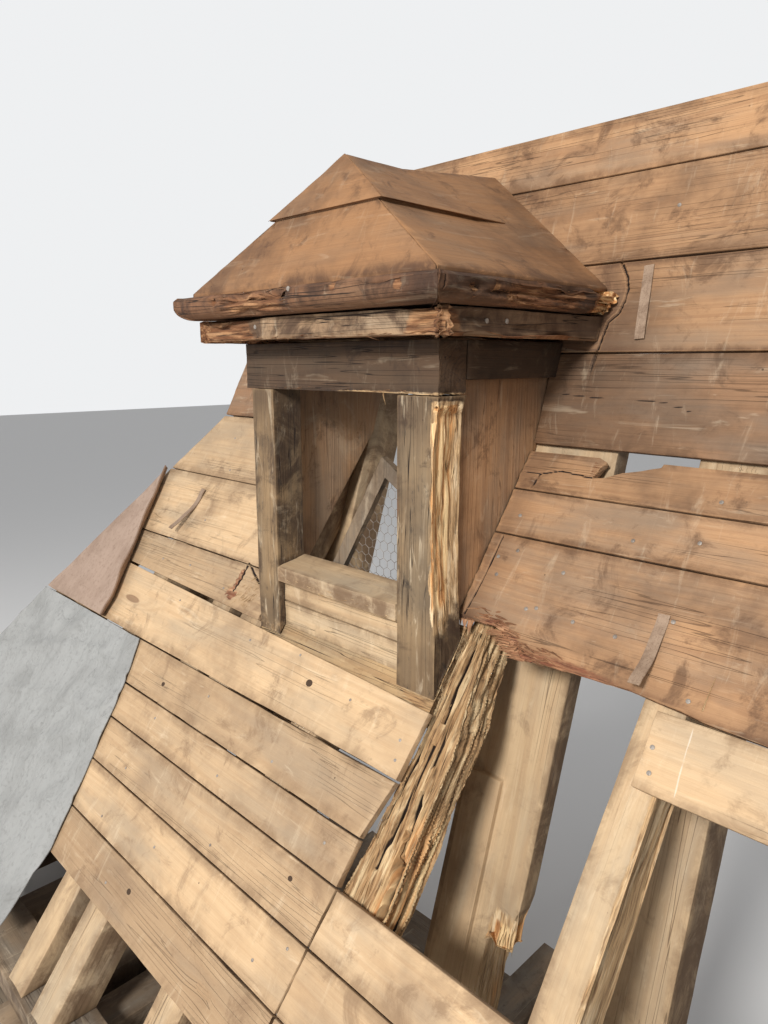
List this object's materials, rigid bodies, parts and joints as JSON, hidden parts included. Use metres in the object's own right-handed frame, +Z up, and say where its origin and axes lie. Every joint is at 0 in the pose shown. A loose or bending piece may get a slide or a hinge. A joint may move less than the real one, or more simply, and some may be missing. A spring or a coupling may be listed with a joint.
{
  "type": "boarded tower roof bay with dormer",
  "caption": "One side of an old four-sided timber tower roof, stripped to its decayed boards, with a small hipped dormer, bare rafters, torn sheet covering and its base timbers.",
  "frame": {"origin": "on the ground, under the middle of the bay, at the underside of the wall plates", "axes": "+X along the eaves, right as seen from outside; +Y into the tower; +Z up"},
  "size_m": [4.7448, 1.6584, 2.76],
  "materials": {
    "base_timber": "rough sawn, weathered, dusty",
    "rafter_timber": "old sawn softwood, dry and matt",
    "rotten_timber": "decayed, fibrous and crumbling",
    "dormer_timber": "weathered grey brown, matt",
    "cornice_timber": "old red-brown softwood, split and matt",
    "skirt_boards": "sawn boards, stained and scratched, matt",
    "brown_boards": "darkened sawn boards, matt",
    "grey_sheet": "dull weathered grey sheet, creased and mottled",
    "old_sheet": "old brown sheet, dull and stained",
    "strap_iron": "thin rusty strip, matt",
    "netting_wood": "weathered grey lath, matt"
  },
  "bodies": {
    "root": {"outer_wall_plate": "base_timber", "inner_wall_plate": "base_timber", "tie_beams": "base_timber", "dragon_ties": "base_timber", "eaves_plate": "base_timber", "main_rafters_left": "rafter_timber", "main_rafters_right": "rafter_timber", "lower_rafters_left": "rafter_timber", "lower_rafters_right": "rafter_timber", "lower_rafters_middle": "rafter_timber", "broad_lower_rafter": "rafter_timber", "upper_hip_left": "rafter_timber", "upper_hip_right": "rafter_timber", "lower_hip_left": "rafter_timber", "lower_hip_right": "rafter_timber", "top_plate": "rafter_timber", "dormer_header": "rafter_timber", "dormer_ridge": "rafter_timber", "dormer_rafters": "rafter_timber", "dormer_hips": "rafter_timber", "split_rafter": "rotten_timber", "left_post": "dormer_timber", "right_post": "dormer_timber", "head_beam": "dormer_timber", "window_sill": "dormer_timber", "apron_boards": "dormer_timber", "left_cheek": "dormer_timber", "right_cheek": "dormer_timber", "side_plates": "dormer_timber", "cornice_fascia": "cornice_timber", "eave_moulding": "cornice_timber", "dormer_front_slope": "cornice_timber", "dormer_left_slope": "cornice_timber", "dormer_right_slope": "cornice_timber", "left_boards": "skirt_boards", "front_boards": "skirt_boards", "foot_boards_right": "skirt_boards", "loose_board": "skirt_boards", "right_boards": "brown_boards", "knee_boards": "brown_boards", "spire_boards": "brown_boards", "lead_sheet": "grey_sheet", "old_covering": "old_sheet", "metal_straps": "strap_iron", "netting_frame": "netting_wood"}
  },
  "joints": []
}
